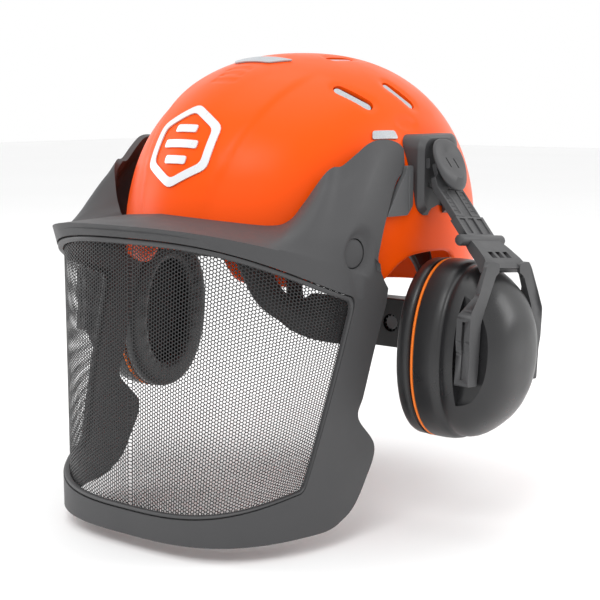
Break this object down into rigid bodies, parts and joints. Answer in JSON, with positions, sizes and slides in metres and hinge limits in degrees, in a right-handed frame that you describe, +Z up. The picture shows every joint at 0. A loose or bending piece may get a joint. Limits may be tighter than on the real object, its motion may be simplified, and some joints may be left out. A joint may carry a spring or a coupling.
{
  "type": "forestry hard hat",
  "caption": "Vented hard hat shell with head harness, lifting mesh face visor and swinging cup ear muffs.",
  "frame": {"origin": "centre of the head at the height where the shell starts to close, the head mount", "axes": "+Z up, the wearer looks along -Y, +X is the wearer's left"},
  "size_m": [0.346, 0.305, 0.2839],
  "materials": {
    "orange_shell": "smooth satin gloss",
    "silver_film": "bright metallic film",
    "grey_plastic": "fine satin texture",
    "light_grey_plastic": "semi gloss",
    "dark_plastic": "satin",
    "black_plastic": "satin",
    "black_cushion": "soft smooth cover over foam",
    "wire_mesh": "black coated steel mesh",
    "orange_ring": "satin",
    "dark_foam": "open foam",
    "black_webbing": "woven"
  },
  "bodies": {
    "helmet": {"shell": "orange_shell", "front_badge": "silver_film", "crown_reflector": "silver_film", "headband": "black_plastic", "sweatband": "dark_foam", "crown_strap_left_diagonal": "black_webbing", "crown_strap_right_diagonal": "black_webbing", "crown_strap_cross": "black_webbing", "crown_pad": "dark_foam", "adjuster_housing": "black_plastic", "side_reflector_left": "silver_film", "top_vent_left": "silver_film", "front_side_vent_left": "silver_film", "rear_side_vent_left": "silver_film", "visor_stud_left": "dark_plastic", "muff_bracket_left": "dark_plastic", "strap_hanger_front_left": "black_plastic", "strap_hanger_side_left": "black_plastic", "strap_hanger_rear_left": "black_plastic", "side_reflector_right": "silver_film", "top_vent_right": "silver_film", "front_side_vent_right": "silver_film", "rear_side_vent_right": "silver_film", "visor_stud_right": "dark_plastic", "muff_bracket_right": "dark_plastic", "strap_hanger_front_right": "black_plastic", "strap_hanger_side_right": "black_plastic", "strap_hanger_rear_right": "black_plastic"},
    "visor": {"visor_frame": "grey_plastic", "visor_mesh": "wire_mesh", "visor_trim": "dark_plastic", "visor_side_plate_left": "light_grey_plastic", "visor_side_plate_right": "light_grey_plastic", "button_cup_left": "dark_plastic", "button_cup_right": "dark_plastic"},
    "button_left": {"visor_button_left": "grey_plastic"},
    "muff_hub_left": {"muff_hub_left": "dark_plastic"},
    "muff_arm_left": {"muff_arm_left": "dark_plastic", "hub_cover_left": "dark_plastic"},
    "muff_yoke_left": {"muff_yoke_left": "dark_plastic"},
    "ear_cup_left": {"cup_left": "dark_plastic", "cup_ring_left": "orange_ring", "cushion_left": "black_cushion", "cup_foam_left": "dark_foam"},
    "button_right": {"visor_button_right": "grey_plastic"},
    "muff_hub_right": {"muff_hub_right": "dark_plastic"},
    "muff_arm_right": {"muff_arm_right": "dark_plastic", "hub_cover_right": "dark_plastic"},
    "muff_yoke_right": {"muff_yoke_right": "dark_plastic"},
    "ear_cup_right": {"cup_right": "dark_plastic", "cup_ring_right": "orange_ring", "cushion_right": "black_cushion", "cup_foam_right": "dark_foam"},
    "adjuster": {"adjuster_knob": "black_plastic", "adjuster_pinion": "light_grey_plastic"},
    "rack_left": {"rack_left": "black_plastic"},
    "rack_right": {"rack_right": "black_plastic"}
  },
  "joints": [
    {"name": "visor_lift", "type": "hinge", "parent": "helmet", "child": "visor", "pos_m": [0, -0.05, 0.044], "axis": [-1, 0, 0], "range_deg": [0, 75]},
    {"name": "button_press_left", "type": "slide", "parent": "visor", "child": "button_left", "axis": [-0.9854, 0.1701, 0], "range_m": [0, 0.002], "stiffness_N_per_m": 400},
    {"name": "muff_swing_left", "type": "hinge", "parent": "helmet", "child": "muff_hub_left", "pos_m": [0.1085, -0.005, 0.047], "axis": [1, 0, 0], "range_deg": [0, 100]},
    {"name": "muff_spread_left", "type": "hinge", "parent": "muff_hub_left", "child": "muff_arm_left", "pos_m": [0.1105, -0.005, 0.047], "axis": [0, -0.9957, 0.0924], "range_deg": [-11, 6]},
    {"name": "muff_height_left", "type": "slide", "parent": "muff_arm_left", "child": "muff_yoke_left", "axis": [0.6468, -0.0704, -0.7594], "range_m": [0, 0.012]},
    {"name": "muff_tilt_left", "type": "hinge", "parent": "muff_yoke_left", "child": "ear_cup_left", "pos_m": [0.1575, -0.01484, -0.05904], "axis": [0, 0.9957, -0.0924], "range_deg": [-6, 2]},
    {"name": "button_press_right", "type": "slide", "parent": "visor", "child": "button_right", "axis": [0.9854, 0.1701, 0], "range_m": [0, 0.002], "stiffness_N_per_m": 400},
    {"name": "muff_swing_right", "type": "hinge", "parent": "helmet", "child": "muff_hub_right", "pos_m": [-0.1085, -0.005, 0.047], "axis": [1, 0, 0], "range_deg": [0, 100]},
    {"name": "muff_spread_right", "type": "hinge", "parent": "muff_hub_right", "child": "muff_arm_right", "pos_m": [-0.1105, -0.005, 0.047], "axis": [0, 0.9957, -0.0924], "range_deg": [-11, 6]},
    {"name": "muff_height_right", "type": "slide", "parent": "muff_arm_right", "child": "muff_yoke_right", "axis": [-0.6468, -0.0704, -0.7594], "range_m": [0, 0.012]},
    {"name": "muff_tilt_right", "type": "hinge", "parent": "muff_yoke_right", "child": "ear_cup_right", "pos_m": [-0.1575, -0.01484, -0.05904], "axis": [0, -0.9957, 0.0924], "range_deg": [-6, 2]},
    {"name": "adjuster_turn", "type": "hinge", "parent": "helmet", "child": "adjuster", "pos_m": [0, 0.12, -0.075], "axis": [0, 1, 0], "range_deg": [-50, 50]},
    {"name": "rack_slide_left", "type": "hinge", "parent": "helmet", "child": "rack_left", "pos_m": [0, 0.041, -0.075], "axis": [0, 0, 1], "range_deg": [-5, 5]},
    {"name": "rack_slide_right", "type": "hinge", "parent": "helmet", "child": "rack_right", "pos_m": [0, 0.041, -0.075], "axis": [0, 0, 1], "range_deg": [-5, 5]}
  ],
  "couplings": [
    {"joint": "rack_slide_left", "follows": "adjuster_turn", "ratio": -0.08955},
    {"joint": "rack_slide_right", "follows": "adjuster_turn", "ratio": 0.08955}
  ]
}
